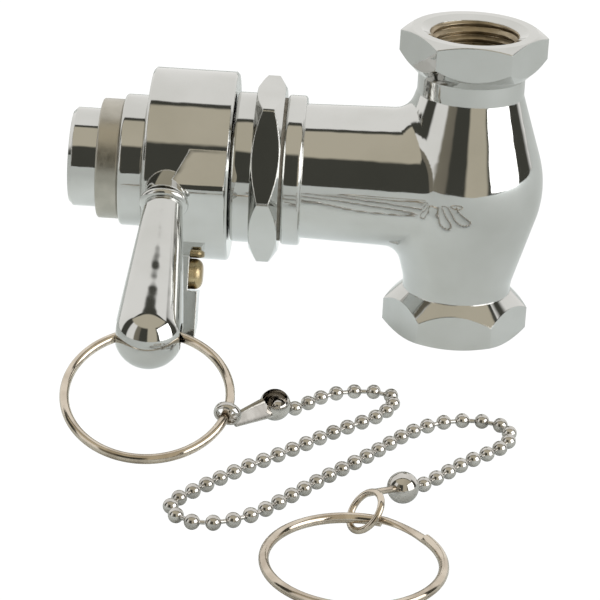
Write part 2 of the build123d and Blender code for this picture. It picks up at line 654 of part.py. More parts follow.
def make_bead(here, there, reach):
    """One bead with the link that reaches towards another point."""
    foot = sqrt(BEAD_RADIUS**2 - LINK_RADIUS**2)
    outline = ThreePointArc((0, -BEAD_RADIUS), (BEAD_RADIUS, 0), (LINK_RADIUS, foot)) + Polyline(
        (LINK_RADIUS, foot), (LINK_RADIUS, reach), (0, reach), (0, -BEAD_RADIUS)
    )
    bead = revolve(Plane.XZ * make_face(outline), axis=Axis.Z)
    return Plane(origin=here, z_dir=there - here) * bead


def make_bead_chain(points, bell):
    """All the beads; the last one's link ends inside the bell."""
    beads = []
    for here, there in zip(points, points[1:]):
        beads.append(make_bead(here, there, (there - here).length - BEAD_RADIUS - LINK_GAP))
    last_reach = (bell - points[-1]).length - BELL_RADIUS + 2 * BELL_WALL
    beads.append(make_bead(points[-1], bell, last_reach))
    return Compound(children=beads)


def make_ring_coupling(points):
    """Sheet coupling: an eye round the lever ring's wire, a strap, and a cup round the first bead."""
    place = lever_ring_place()
    eye_centre = wire_point(place, EYE_ANGLE)
    along_wire = (wire_point(place, EYE_ANGLE + 1) - wire_point(place, EYE_ANGLE - 1)).normalized()
    back = (points[0] - points[1]).normalized()
    cup_x = points[0].X + back.X * CUP_INSET
    cup_y = points[0].Y + back.Y * CUP_INSET
    cup_centre = Vector(cup_x, cup_y, CUP_RADIUS)

    to_cup = cup_centre - eye_centre
    sideways = (to_cup - along_wire * to_cup.dot(along_wire)).normalized()
    strap_start = eye_centre + sideways * EYE_RADIUS
    strap_run = cup_centre - strap_start
    level = Vector(-strap_run.Y, strap_run.X, 0)
    start_plane = Plane(origin=strap_start, x_dir=level, z_dir=strap_run)
    end_plane = Plane(origin=cup_centre, x_dir=level, z_dir=strap_run)
    strap = loft(
        [
            start_plane * Rectangle(STRAP_EYE_WIDTH, STRAP_THICKNESS),
            end_plane * Rectangle(STRAP_CUP_WIDTH, STRAP_THICKNESS),
        ]
    )
    eye = Plane(origin=eye_centre, z_dir=along_wire) * Torus(EYE_RADIUS, EYE_WIRE / 2)
    coupling = eye + strap + Pos(cup_centre) * Sphere(CUP_RADIUS)
    coupling -= Pos(cup_centre) * Sphere(CUP_RADIUS - CUP_WALL)
    opening = Pos(0, 0, CUP_RADIUS) * Cylinder(CUP_OPENING_RADIUS, 2 * CUP_RADIUS)
    coupling -= Pos(cup_centre) * Rot(CUP_OPENING_TILT, 0, 0) * opening
    coupling -= bar_between(points[0], points[1], LINK_RADIUS + BELL_HOLE_GAP)
    return coupling


def loop_directions():
    """The wire loop's leaning axis across the ring and its second axis, both in its own plane."""
    lean = radians(LOOP_LEAN)
    turn = radians(LOOP_TURN)
    up = Vector(0, sin(lean), cos(lean))
    side = Vector(cos(turn), -sin(turn) * cos(lean), sin(turn) * sin(lean))
    return up, side


def loop_centre():
    """The loop's middle, above the pull ring's wire and in the loop's own plane."""
    up, side = loop_directions()
    steepest = (up * up.Z + side * side.Z).normalized()
    return wire_point(pull_ring_place(), LOOP_ANGLE) + steepest * LOOP_RISE


def make_coupling_loop(bell):
    """Wire eye round the pull ring, with a shank whose head is held inside the bell."""
    up, side = loop_directions()
    centre = loop_centre()
    shank_start = centre + up * LOOP_RADIUS
    shank = (bell - shank_start).normalized()
    shank_end = bell - shank * (BELL_RADIUS - BELL_WALL - LOOP_HEAD_THICKNESS - LOOP_HEAD_GAP)
    loop = Plane(origin=centre, x_dir=side, z_dir=side.cross(up)) * Torus(LOOP_RADIUS, LOOP_WIRE / 2)
    loop += bar_between(shank_start, shank_end, LOOP_WIRE / 2)
    loop += bar_between(shank_end - shank * LOOP_HEAD_THICKNESS, shank_end, LOOP_HEAD_RADIUS)
    return loop


def make_bell_coupling(points, bell):
    """Hollow ball with a hole for the chain's link and one for the loop's shank."""
    up, side = loop_directions()
    shell = Sphere(BELL_RADIUS) - Sphere(BELL_RADIUS - BELL_WALL)
    ball = Pos(bell) * shell
    ball -= bar_between(bell, points[-1], LINK_RADIUS + BELL_HOLE_GAP)
    ball -= bar_between(bell, loop_centre() + up * LOOP_RADIUS, LOOP_WIRE / 2 + BELL_HOLE_GAP)
    return ball


def main():
    os.makedirs("parts", exist_ok=True)
    points = chain_points()
    bell = bell_centre(points)
    stem_fit = STEM_RADIUS + RUNNING_GAP
    packing_fit = PACKING_RADIUS - THREAD_GAP
    tube_fit = TUBE_RADIUS + RUNNING_GAP
    collar_left_x = SPRING_COLLAR_X - SPRING_COLLAR_LENGTH
    retainer_left_x = LOCK_RING_RIGHT_X
    lock_ring_left_x = LOCK_RING_RIGHT_X - LOCK_RING_LENGTH
    parts = {
        "valve_body": make_valve_body(),
        "seat_ring": make_seat_ring(),
        "bonnet": make_bonnet(),
        "bonnet_gasket": branch_ring(COLLAR_RADIUS - COLLAR_EDGE, SOCKET_RADIUS, HEX_RIGHT_X, BODY_END_X),
        "packing_ring": branch_ring(packing_fit, stem_fit, PACKING_LEFT_X, PACKING_RIGHT_X),
        "packing_gland": branch_ring(packing_fit, stem_fit, SLEEVE_LEFT_X, PACKING_LEFT_X),
        "lever_hub": make_lever_hub(),
        "lever_handle": make_lever_handle(),
        "stop_pin": make_stop_pin(),
        "retaining_collar": rounded_ring(
            RETAINER_RADIUS, tube_fit, retainer_left_x, RETAINER_RIGHT_X, RETAINER_EDGE
        ),
        "lock_ring": rounded_ring(
            LOCK_RING_RADIUS, tube_fit, lock_ring_left_x, LOCK_RING_RIGHT_X, LOCK_RING_EDGE
        ),
        "end_cap": make_end_cap(),
        "stem": make_stem(),
        "cam_pin": Pos(CAM_PIN_X, 0, BRANCH_Z) * Cylinder(CAM_PIN_RADIUS, 2 * CAM_PIN_REACH),
        "spring_collar": branch_ring(
            SPRING_COLLAR_RADIUS, STEM_RADIUS + THREAD_GAP, collar_left_x, SPRING_COLLAR_X
        ),
        "return_spring": make_return_spring(),
        "disc_holder": make_disc_holder(),
        "seat_washer": branch_ring(WASHER_RADIUS, SCREW_RADIUS + THREAD_GAP, WASHER_LEFT_X, WASHER_RIGHT_X),
        "washer_screw": make_washer_screw(),
        "lever_ring": lever_ring_place() * make_split_ring(LEVER_RING_SPLIT),
        "ring_coupling": make_ring_coupling(points),
        "bead_chain": make_bead_chain(points, bell),
        "bell_coupling": make_bell_coupling(points, bell),
        "coupling_loop": make_coupling_loop(bell),
        "pull_ring": pull_ring_place() * make_split_ring(PULL_RING_SPLIT),
    }
    for name, part in parts.items():
        export_step(part, f"parts/{name}.step")


if __name__ == "__main__":
    main()
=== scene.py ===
from math import cos, pi, radians, sin, tan

import bmesh
import bpy
import numpy as np
from mathutils import Matrix, Vector


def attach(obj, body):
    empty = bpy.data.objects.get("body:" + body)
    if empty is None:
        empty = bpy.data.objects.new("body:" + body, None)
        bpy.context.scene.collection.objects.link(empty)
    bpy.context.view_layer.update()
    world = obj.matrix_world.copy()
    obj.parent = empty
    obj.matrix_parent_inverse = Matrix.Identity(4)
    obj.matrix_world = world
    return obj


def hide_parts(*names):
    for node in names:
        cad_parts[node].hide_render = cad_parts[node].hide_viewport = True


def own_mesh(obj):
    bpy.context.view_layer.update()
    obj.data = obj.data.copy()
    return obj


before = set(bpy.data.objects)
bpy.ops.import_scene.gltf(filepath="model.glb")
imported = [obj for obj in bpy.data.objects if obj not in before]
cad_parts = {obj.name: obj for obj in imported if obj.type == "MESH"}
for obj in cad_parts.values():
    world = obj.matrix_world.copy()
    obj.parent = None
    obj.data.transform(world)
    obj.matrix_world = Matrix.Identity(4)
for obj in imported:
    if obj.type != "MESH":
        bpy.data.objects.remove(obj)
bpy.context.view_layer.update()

# Valve body: one brass casting with two hexagon ports and a side neck, ground, polished
# and chrome plated. The plating follows the faint waves that the polishing wheel leaves.
MM = 0.001


def plated_metal(name, bright, dull, polish, wave_size, wave_depth, stain_size, edge):
    """A metal whose colour drifts between two tones and whose gloss and surface waver a little.

    The colour follows slow noise, the roughness follows fine noise between the two polish
    values, a bump of the given depth follows noise of the given wave size, and sharp edges
    catch the light as if rounded by the given radius.
    """
    metal = bpy.data.materials.new(name)
    metal.use_nodes = True
    nodes = metal.node_tree.nodes
    links = metal.node_tree.links
    shader = nodes["Principled BSDF"]
    shader.inputs["Metallic"].default_value = 1.0
    place = nodes.new("ShaderNodeTexCoord").outputs["Object"]

    stain = nodes.new("ShaderNodeTexNoise")
    stain.inputs["Scale"].default_value = 1 / stain_size
    stain.inputs["Detail"].default_value = 4.0
    links.new(place, stain.inputs["Vector"])
    tone = nodes.new("ShaderNodeValToRGB")
    tone.color_ramp.elements[0].position = 0.35
    tone.color_ramp.elements[0].color = (*dull, 1)
    tone.color_ramp.elements[1].position = 0.6
    tone.color_ramp.elements[1].color = (*bright, 1)
    links.new(stain.outputs["Fac"], tone.inputs["Fac"])
    links.new(tone.outputs["Color"], shader.inputs["Base Color"])

    haze_per_stain = 6
    haze = nodes.new("ShaderNodeTexNoise")
    haze.inputs["Scale"].default_value = haze_per_stain / stain_size
    haze.inputs["Detail"].default_value = 6.0
    links.new(place, haze.inputs["Vector"])
    gloss = nodes.new("ShaderNodeMapRange")
    gloss.inputs["From Min"].default_value = 0.3
    gloss.inputs["From Max"].default_value = 0.7
    gloss.inputs["To Min"].default_value = polish[0]
    gloss.inputs["To Max"].default_value = polish[1]
    links.new(haze.outputs["Fac"], gloss.inputs["Value"])
    links.new(gloss.outputs["Result"], shader.inputs["Roughness"])

    rounded = nodes.new("ShaderNodeBevel")
    rounded.samples = 6
    rounded.inputs["Radius"].default_value = edge
    wave = nodes.new("ShaderNodeTexNoise")
    wave.inputs["Scale"].default_value = 1 / wave_size
    wave.inputs["Detail"].default_value = 2.0
    links.new(place, wave.inputs["Vector"])
    ripple = nodes.new("ShaderNodeBump")
    ripple.inputs["Strength"].default_value = 1.0
    ripple.inputs["Distance"].default_value = wave_depth
    links.new(wave.outputs["Fac"], ripple.inputs["Height"])
    links.new(rounded.outputs["Normal"], ripple.inputs["Normal"])
    links.new(ripple.outputs["Normal"], shader.inputs["Normal"])
    return metal


def finish_node(node, finish):
    """Gives a CAD node's object one finish all over, in its own material slot."""
    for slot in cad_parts[node].material_slots:
        slot.link = "OBJECT"
        slot.material = finish


chrome = plated_metal(
    "polished_chrome",
    bright=(0.62, 0.62, 0.605),
    dull=(0.57, 0.57, 0.55),
    polish=(0.03, 0.07),
    wave_size=9 * MM,
    wave_depth=0.08 * MM,
    stain_size=18 * MM,
    edge=0.35 * MM,
)
finish_node("valve_body", chrome)

# Port threads: a pipe thread cut in each port of the casting, left as bare brass, its colour
# darkened with painted shade for the bore.
# Each is a thin sleeve in the bore, with the ridges winding down it from the mouth.


def grid_mesh(name, points, closed_rows):
    """A mesh over rows of points: every row is a ring, and the rows may close up as well.

    Vertices that lie on one spot, as at a pole or a seam, become one, and faces look outward.
    """
    rows, columns = points.shape[:2]
    index = np.arange(rows * columns).reshape(rows, columns)
    beside = np.roll(index, -1, axis=1)
    below = np.roll(index, -1, axis=0)
    below_beside = np.roll(beside, -1, axis=0)
    quads = np.stack((index, beside, below_beside, below), axis=-1)
    if not closed_rows:
        quads = quads[:-1]
    mesh = bpy.data.meshes.new(name)
    corners = (points * MM).reshape(-1, 3).tolist()
    mesh.from_pydata(corners, [], quads.reshape(-1, 4).tolist())
    cleaned = bmesh.new()
    cleaned.from_mesh(mesh)
    bmesh.ops.remove_doubles(cleaned, verts=cleaned.verts, dist=0.002 * MM)
    bmesh.ops.recalc_face_normals(cleaned, faces=cleaned.faces)
    cleaned.to_mesh(mesh)
    cleaned.free()
    return mesh


def show_piece(mesh, body, finish, crease):
    """Makes a mesh a piece of the valve: smooth but for edges sharper than the crease angle."""
    mesh.polygons.foreach_set("use_smooth", np.ones(len(mesh.polygons), dtype=bool))
    mesh.set_sharp_from_angle(angle=radians(crease))
    mesh.materials.clear()
    mesh.materials.append(finish)
    piece = bpy.data.objects.new(mesh.name, mesh)
    bpy.context.scene.collection.objects.link(piece)
    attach(piece, body)
    return piece


def port_thread(name, mouth_z, down):
    """A sleeve whose inner radius rises and falls along z and winds once round per pitch.

    With turns t = depth / pitch - angle / full turn, the ridge height is the distance of t
    from the nearest whole number, doubled; the outer wall lies on the bore.
    """
    start, end, pitch, ridge_height = 0.95, 12.6, 1.814, 0.95
    root_radius, bore_radius = 9.9, 9.97
    fade_in, fade_out = 1.2, 0.4
    columns = 120
    depth = np.linspace(start, end, 104)[:, None]
    angle = np.linspace(0, 2 * pi, columns, endpoint=False)[None, :]
    turns = depth / pitch - angle / (2 * pi)
    ridge = 2 * np.abs(turns - np.round(turns))
    fade = np.clip((depth - start) / fade_in, 0, 1) * np.clip((end - depth) / fade_out, 0, 1)
    radius = root_radius - ridge_height * ridge * fade
    outer = np.full((2, columns), bore_radius)
    outer_depth = np.broadcast_to([[end], [start]], outer.shape)
    radii = np.concatenate((radius, outer))
    depths = np.concatenate((np.broadcast_to(depth, radius.shape), outer_depth))
    z = mouth_z - down * depths
    points = np.stack((radii * np.cos(angle), radii * np.sin(angle), z), axis=-1)
    return grid_mesh(name, points, closed_rows=True)


# Painted shade: the threads' brass is darker than the raw brass of the stem and pin, standing in
# for the shade deep in the bores.
port_brass_painted_shade = plated_metal(
    "port_brass_painted_shade",
    bright=(0.4, 0.33, 0.23),
    dull=(0.24, 0.2, 0.14),
    polish=(0.25, 0.45),
    wave_size=2 * MM,
    wave_depth=0.02 * MM,
    stain_size=6 * MM,
    edge=0.15 * MM,
)
upper_mouth, lower_mouth = 71.5, 0.0
upper_thread = port_thread("upper_port_thread", upper_mouth, 1)
lower_thread = port_thread("lower_port_thread", lower_mouth, -1)
show_piece(upper_thread, "valve", port_brass_painted_shade, crease=80)
show_piece(lower_thread, "valve", port_brass_painted_shade, crease=80)

# Seat ring: a turned brass ring screwed into the wall between the inlet and the outlet.
# The washer closes on its raised face.
brass = plated_metal(
    "raw_brass",
    bright=(0.56, 0.45, 0.27),
    dull=(0.4, 0.31, 0.18),
    polish=(0.22, 0.42),
    wave_size=2 * MM,
    wave_depth=0.02 * MM,
    stain_size=5 * MM,
    edge=0.15 * MM,
)
finish_node("seat_ring", brass)

# Stem: a turned brass spindle that slides and turns in the bonnet along the branch.
# It carries the washer at its nose and the spring's collar at its tail.
finish_node("stem", brass)

# Disc holder: a turned brass cup on the stem's nose.
# It keeps the washer from spreading.
finish_node("disc_holder", brass)

# Seat washer: a flat rubber ring pressed into the holder.
# It closes on the seat ring.


def soft_seal(name, light, dark, grain):
    """A dull, uneven soft material between a light and a dark tone, with a fine grain."""
    soft = bpy.data.materials.new(name)
    soft.use_nodes = True
    nodes = soft.node_tree.nodes
    links = soft.node_tree.links
    shader = nodes["Principled BSDF"]
    shader.inputs["Roughness"].default_value = 0.75
    speckle = nodes.new("ShaderNodeTexNoise")
    speckle.inputs["Scale"].default_value = 1 / grain
    speckle.inputs["Detail"].default_value = 5.0
    links.new(nodes.new("ShaderNodeTexCoord").outputs["Object"], speckle.inputs["Vector"])
    tone = nodes.new("ShaderNodeValToRGB")
    tone.color_ramp.elements[0].position = 0.35
    tone.color_ramp.elements[0].color = (*dark, 1)
    tone.color_ramp.elements[1].position = 0.65
    tone.color_ramp.elements[1].color = (*light, 1)
    links.new(speckle.outputs["Fac"], tone.inputs["Fac"])
    links.new(tone.outputs["Color"], shader.inputs["Base Color"])
    tooth = nodes.new("ShaderNodeBump")
    tooth.inputs["Distance"].default_value = grain / 10
    links.new(speckle.outputs["Fac"], tooth.inputs["Height"])
    links.new(tooth.outputs["Normal"], shader.inputs["Normal"])
    return soft


rubber = soft_seal(
    "washer_rubber",
    light=(0.035, 0.033, 0.03),
    dark=(0.015, 0.015, 0.014),
    grain=1.5 * MM,
)
finish_node("seat_washer", rubber)

# Washer screw: a small brass screw through the washer into the stem's nose.
# It clamps the washer in its holder.
finish_node("washer_screw", brass)

# Bonnet gasket: a thin ring of pressed fibre between the casting's collar and the bonnet.
# It is squeezed when the bonnet is screwed home.
fibre = soft_seal(
    "seal_fibre",
    light=(0.36, 0.34, 0.3),
    dark=(0.22, 0.2, 0.17),
    grain=0.8 * MM,
)
finish_node("bonnet_gasket", fibre)

# Bonnet: a brass turning with a wrench hexagon, a sleeve and a long tube, chrome plated.
# It screws into the neck, and came to rest with one corner of the hexagon to the front.
BRANCH_Z = 35.75


def branch_points(x, radius, angle):
    """Points about the branch axis: angle 0 is to the front and a quarter turn is up."""
    x, radius, angle = np.broadcast_arrays(x, radius, angle)
    return np.stack((x, -radius * np.cos(angle), BRANCH_Z + radius * np.sin(angle)), axis=-1)


def turned_rows(profile, columns, start):
    """Rows of a turning about the branch axis: each (x, radius) becomes a ring at that x.

    Every ring begins at the start angle.
    """
    x, radius = np.array(profile).T[:, :, None]
    angle = start + np.linspace(0, 2 * pi, columns, endpoint=False)[None, :]
    return branch_points(x, radius, angle)


def bonnet_mesh():
    """A turning whose middle rows are a hexagon: radius = flat / cos(angle from the flat).

    The two rows next to the hexagon's faces run where a cone takes its corners off.
    """
    columns = 360
    nut_turn = radians(-3)
    flat, face_radius, corner_radius, cone_slope = 18.62, 18.42, 21.3, 0.65
    right_x, left_x = -41.2, -47.6
    angle = nut_turn + np.linspace(0, 2 * pi, columns, endpoint=False)
    from_flat = np.mod(angle - nut_turn, pi / 3) - pi / 6
    hexagon = np.minimum(flat / np.cos(from_flat), corner_radius)
    taken_off = (hexagon - face_radius) * cone_slope
    nut = np.stack((
        branch_points(right_x - taken_off, hexagon, angle),
        branch_points(left_x + taken_off, hexagon, angle),
    ))

    mouth_x, shank_radius, mouth_bore = -31.5, 12.46, 9.4
    shank = [(mouth_x, shank_radius), (right_x, shank_radius), (right_x, face_radius)]
    sleeve_x, sleeve_radius = -52.0, 17.0
    sleeve = [(left_x, face_radius), (left_x, sleeve_radius)]
    rounding = [(-51.3, sleeve_radius), (-51.65, 16.93), (-51.93, 16.7), (sleeve_x, 16.4)]
    tube_end_x, tube_radius, tube_bore = -82.4, 12.0, 8.6
    tube = [
        (sleeve_x, tube_radius),
        (tube_end_x, tube_radius),
        (tube_end_x, tube_bore),
        (sleeve_x, tube_bore),
    ]
    packing_x, packing_bore = -44.5, 7.5
    guide_x, guide_bore = -36.5, 4.05
    inside = [
        (sleeve_x, packing_bore),
        (packing_x, packing_bore),
        (packing_x, guide_bore),
        (guide_x, guide_bore),
        (guide_x, mouth_bore),
        (mouth_x, mouth_bore),
    ]
    front = turned_rows(shank, columns, nut_turn)
    back = turned_rows(sleeve + rounding + tube + inside, columns, nut_turn)
    return grid_mesh("bonnet_turning", np.concatenate((front, nut, back)), closed_rows=True)


bonnet = show_piece(bonnet_mesh(), "valve", chrome, crease=25)
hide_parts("bonnet")

# Packing ring: a ring of pressed fibre round the stem, at the bottom of the bonnet's tube.
# It keeps the water from the lever's side.
finish_node("packing_ring", fibre)

# Packing gland: a turned brass ring behind the lever hub.
# It presses on the packing.
finish_node("packing_gland", brass)

# Lever hub: a brass casting with a drum, a sloping nose beside the lever, a short boss for
# the lever and an arm with a foot below. It is chrome plated and turns on the bonnet's tube.
LEVER_X = -65.5
LEVER_ROOT = np.array((LEVER_X, -27.0, 36.6))
LEVER_DROOP = radians(36)
LEVER_AXIS = np.array((0, -cos(LEVER_DROOP), -sin(LEVER_DROOP)))
LEVER_UP = np.array((0, -sin(LEVER_DROOP), cos(LEVER_DROOP)))
ARM_TURN = radians(70)
ARM_LEFT_X, ARM_RIGHT_X = -66.0, -60.7


def capped_prism(name, near_loop, far_loop):
    """A solid between two loops of points, with each end closed to the loop's middle."""
    near_pole = np.broadcast_to(near_loop.mean(axis=0), near_loop.shape)
    far_pole = np.broadcast_to(far_loop.mean(axis=0), far_loop.shape)
    rows = np.stack((near_pole, near_loop, far_loop, far_pole))
    return grid_mesh(name, rows, closed_rows=False)


def at_x(x, outline):
    """A loop of points at one or many x, from (y, z) corners measured from the branch axis."""
    y, z = np.array(outline).T
    return np.stack((np.broadcast_to(x, y.shape), y, z + BRANCH_Z), axis=-1)


def joined(name, base, others, operation):
    """One mesh that is the union of a mesh with others, or what is left when they are cut away."""
    kept = bpy.data.objects.new("joining", base)
    bpy.context.scene.collection.objects.link(kept)
    tools = []
    for other in others:
        tool = bpy.data.objects.new("joining_tool", other)
        bpy.context.scene.collection.objects.link(tool)
        step = kept.modifiers.new("join", "BOOLEAN")
        step.operation = operation
        step.solver = "EXACT"
        step.object = tool
        tools.append(tool)
    evaluated = kept.evaluated_get(bpy.context.evaluated_depsgraph_get())
    mesh = bpy.data.meshes.new_from_object(evaluated)
    for done in [kept] + tools:
        bpy.data.objects.remove(done)
    mesh.name = name
    return mesh


def lever_points(along, radius, angle):
    """Points about the lever's axis, at a distance from its root."""
    along, radius, angle = np.broadcast_arrays(along, radius, angle)
    sideways = np.array((1.0, 0, 0))
    return (
        LEVER_ROOT
        + along[..., None] * LEVER_AXIS
        + (radius * np.cos(angle))[..., None] * sideways
        + (radius * np.sin(angle))[..., None] * LEVER_UP
    )


def lever_turning(name, profile, columns):
    """A solid turned about the lever's axis, from (distance, radius) points with closed poles."""
    along, radius = np.array(profile).T[:, :, None]
    angle = np.linspace(0, 2 * pi, columns, endpoint=False)[None, :]
    return grid_mesh(name, lever_points(along, radius, angle), closed_rows=False)


def lever_hub_mesh():
    """Drum, nose, arm, foot and boss run together, with a flat for the lever's bead cut in."""
    drum_right_x, drum_left_x = -52.2, -71.2
    drum_radius, drum_bore, drum_edge = 21.4, 12.05, 0.5
    rim = [
        (drum_right_x, drum_bore),
        (drum_right_x, drum_radius - drum_edge),
        (drum_right_x - drum_edge, drum_radius),
        (drum_left_x + drum_edge, drum_radius),
        (drum_left_x, drum_radius - drum_edge),
        (drum_left_x, drum_bore),
    ]
    drum = grid_mesh("lever_hub_drum", turned_rows(rim, 240, 0), closed_rows=True)

    tip_turn = np.radians(np.linspace(42, -44, 9))
    tip_middle, tip_radius = np.array((-24.4, 3.2)), 2.6
    tip = tip_middle + tip_radius * np.stack((-np.cos(tip_turn), np.sin(tip_turn)), axis=-1)
    top_corner = [(-18.9, 10.0)]
    underside = [(-17.5, -12.2), (-11.0, -9.4), (-15.0, 0.0), (-13.0, 7.0)]
    outline = np.concatenate((top_corner, tip, underside))
    tip_y, root_y = -27.0, top_corner[0][0]
    tip_left_x, root_left_x = -64.7, -61.0
    left_x = np.interp(outline[:, 0], (tip_y, root_y), (tip_left_x, root_left_x))
    nose = capped_prism(
        "hub_nose", at_x(drum_right_x - drum_edge, outline), at_x(left_x, outline)
    )

    arm_length, root_half, end_half = 45.04, 5.5, 3.5
    run = np.array((-cos(ARM_TURN), -sin(ARM_TURN)))
    across = np.array((sin(ARM_TURN), -cos(ARM_TURN)))

    def arm_outline(start):
        """Four corners of the tapered arm, from a distance along it down to its level end."""
        sides = []
        for side in (-1, 1):
            root = side * root_half * across
            step = run * arm_length + side * end_half * across - root
            share = np.array((start / arm_length, (-BRANCH_Z - root[1]) / step[1]))
            sides.append(root + share[:, None] * step)
        back, front = sides
        return np.array((back[0], back[1], front[1], front[0]))

    arm_start, foot_start = 15.5, 28.7
    foot_left_x, foot_right_x = -65.9, -58.5
    arm_loop = arm_outline(arm_start)
    arm = capped_prism("hub_arm", at_x(ARM_LEFT_X, arm_loop), at_x(ARM_RIGHT_X, arm_loop))
    foot_loop = arm_outline(foot_start)
    foot = capped_prism("hub_foot", at_x(foot_left_x, foot_loop), at_x(foot_right_x, foot_loop))

    boss_radius, boss_back_y = 4.6, -15.0
    angle = np.linspace(0, 2 * pi, 72, endpoint=False)
    boss_x = LEVER_X + boss_radius * np.cos(angle)
    boss_z = LEVER_ROOT[2] + boss_radius * np.sin(angle)
    front_y = LEVER_ROOT[1] - (boss_z - LEVER_ROOT[2]) * tan(LEVER_DROOP)
    boss_front = np.stack((boss_x, front_y, boss_z), axis=-1)
    boss_back = np.stack((boss_x, np.full_like(boss_x, boss_back_y), boss_z), axis=-1)
    boss = capped_prism("hub_boss", boss_back, boss_front)

    casting = joined("hub_casting", drum, [nose, arm, foot, boss], "UNION")
    flat_radius, flat_reach = 5.6, 9
    flat_profile = [(0, 0), (0, flat_radius), (flat_reach, flat_radius), (flat_reach, 0)]
    flat = lever_turning("hub_flat", flat_profile, 72)
    return joined("lever_hub_casting", casting, [flat], "DIFFERENCE")


hub = show_piece(lever_hub_mesh(), "lever", chrome, crease=25)
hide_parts("lever_hub")

# Cam pin: a hardened steel cross pin through the stem, whose ends run in the bonnet's cam slots.
# It turns with the hub, so that a pull on the lever draws the stem back.
steel = plated_metal(
    "spring_steel",
    bright=(0.42, 0.42, 0.42),
    dull=(0.3, 0.3, 0.3),
    polish=(0.2, 0.35),
    wave_size=2 * MM,
    wave_depth=0.01 * MM,
    stain_size=4 * MM,
    edge=0.1 * MM,
)
finish_node("cam_pin", steel)

# Retaining collar: a brass ring, turned and chrome plated, on the bonnet's tube.
# It keeps the hub on the tube.
finish_node("retaining_collar", chrome)

# Lock ring: a dull plated ring screwed up against the collar.
# Its rim keeps the fine lines of the turning tool.
satin = plated_metal(
    "turned_satin",
    bright=(0.5, 0.475, 0.42),
    dull=(0.42, 0.4, 0.35),
    polish=(0.28, 0.4),
    wave_size=0.5 * MM,
    wave_depth=0.01 * MM,
    stain_size=6 * MM,
    edge=0.2 * MM,
)
finish_node("lock_ring", satin)

# Spring collar: a turned brass disc fixed on the stem's tail.
# The return spring pushes on it.
finish_node("spring_collar", brass)

# Return spring: a coil of steel wire round the stem's tail, between its collar and the end cap.
# It closes the valve by itself and shortens as the stem is drawn back; here it is one fixed coil
# on the valve's body.


def return_spring_mesh():
    """A round wire along a helix about the branch axis, closed at both ends.

    The middle of the wire moves along x in proportion to the turn, and the section is a circle
    across the wire's own direction.
    """
    coil_radius, wire_radius, turns = 6.4, 0.7, 4.5
    right_x, left_x = -67.85, -79.95
    turn = np.linspace(0, turns * 2 * pi, 271)
    rise = (left_x - right_x) / turn[-1]
    still = np.zeros_like(turn)
    outward = np.stack((still, -np.cos(turn), np.sin(turn)), axis=-1)
    along = np.stack(
        (still + rise, coil_radius * np.sin(turn), coil_radius * np.cos(turn)), axis=-1
    )
    along = along / np.linalg.norm(along, axis=-1, keepdims=True)
    sideways = np.cross(along, outward)
    axis_points = np.stack((right_x + rise * turn, still, still + BRANCH_Z), axis=-1)
    middle = coil_radius * outward + axis_points
    section = np.linspace(0, 2 * pi, 24, endpoint=False)[None, :, None]
    across = np.cos(section) * outward[:, None] + np.sin(section) * sideways[:, None]
    points = middle[:, None] + wire_radius * across
    near = np.broadcast_to(middle[0], points[:1].shape)
    far = np.broadcast_to(middle[-1], points[:1].shape)
    rows = np.concatenate((near, points, far))
    return grid_mesh("closing_spring", rows, closed_rows=False)


spring = show_piece(return_spring_mesh(), "valve", steel, crease=40)
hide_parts("return_spring")
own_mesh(spring)

# End cap: a turned brass cap, chrome plated, that screws into the end of the tube.
# The return spring pushes against it.
finish_node("end_cap", chrome)

# Lever handle: a bat turned from brass and chrome plated, with a bead at its root and a cross
# hole through its round end. Its short stud is pressed into the hub's boss.
LEVER_GRIP = 34.6
LEVER_HOLE = LEVER_ROOT + LEVER_GRIP * LEVER_AXIS


def lever_handle_mesh():
    """A turning: stud, bead, a neck that swells as a smooth curve, and a half-round end.

    Between neck, middle and end the radius follows a parabola through the three points.
    """
    stud = [(-3.0, 0.0), (-3.0, 2.0), (0.0, 2.0)]
    bead_inner_radius = 4.4
    bead_turn = np.linspace(0, pi, 13)
    bead = np.stack((1 - np.cos(bead_turn), bead_inner_radius + np.sin(bead_turn)), axis=-1)
    neck_along, middle_along = 2.0, 16.6
    neck_radius, middle_radius, end_radius = 4.2, 5.7, 7.4
    along = np.linspace(neck_along, LEVER_GRIP, 40)
    swell = np.polyfit(
        (neck_along, middle_along, LEVER_GRIP), (neck_radius, middle_radius, end_radius), 2
    )
    grip = np.stack((along, np.polyval(swell, along)), axis=-1)
    end_turn = np.linspace(0, pi / 2, 20)[1:]
    end_along = LEVER_GRIP + end_radius * np.sin(end_turn)
    end = np.stack((end_along, end_radius * np.cos(end_turn)), axis=-1)
    bat = lever_turning("lever_handle_bat", np.concatenate((stud, bead, grip, end)), 144)

    hole_radius = 2.9
    hole_reach = np.array((12.0, 0, 0))
    angle = np.linspace(0, 2 * pi, 64, endpoint=False)[:, None]
    rim = LEVER_HOLE + hole_radius * (np.cos(angle) * LEVER_AXIS + np.sin(angle) * LEVER_UP)
    hole = capped_prism("lever_hole", rim - hole_reach, rim + hole_reach)
    return joined("lever_bat", bat, [hole], "DIFFERENCE")


handle = show_piece(lever_handle_mesh(), "lever", chrome, crease=35)
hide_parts("lever_handle")

# Stop pin: a turned brass pin with a domed head, driven through the hub's lower arm.
# It is left bare.


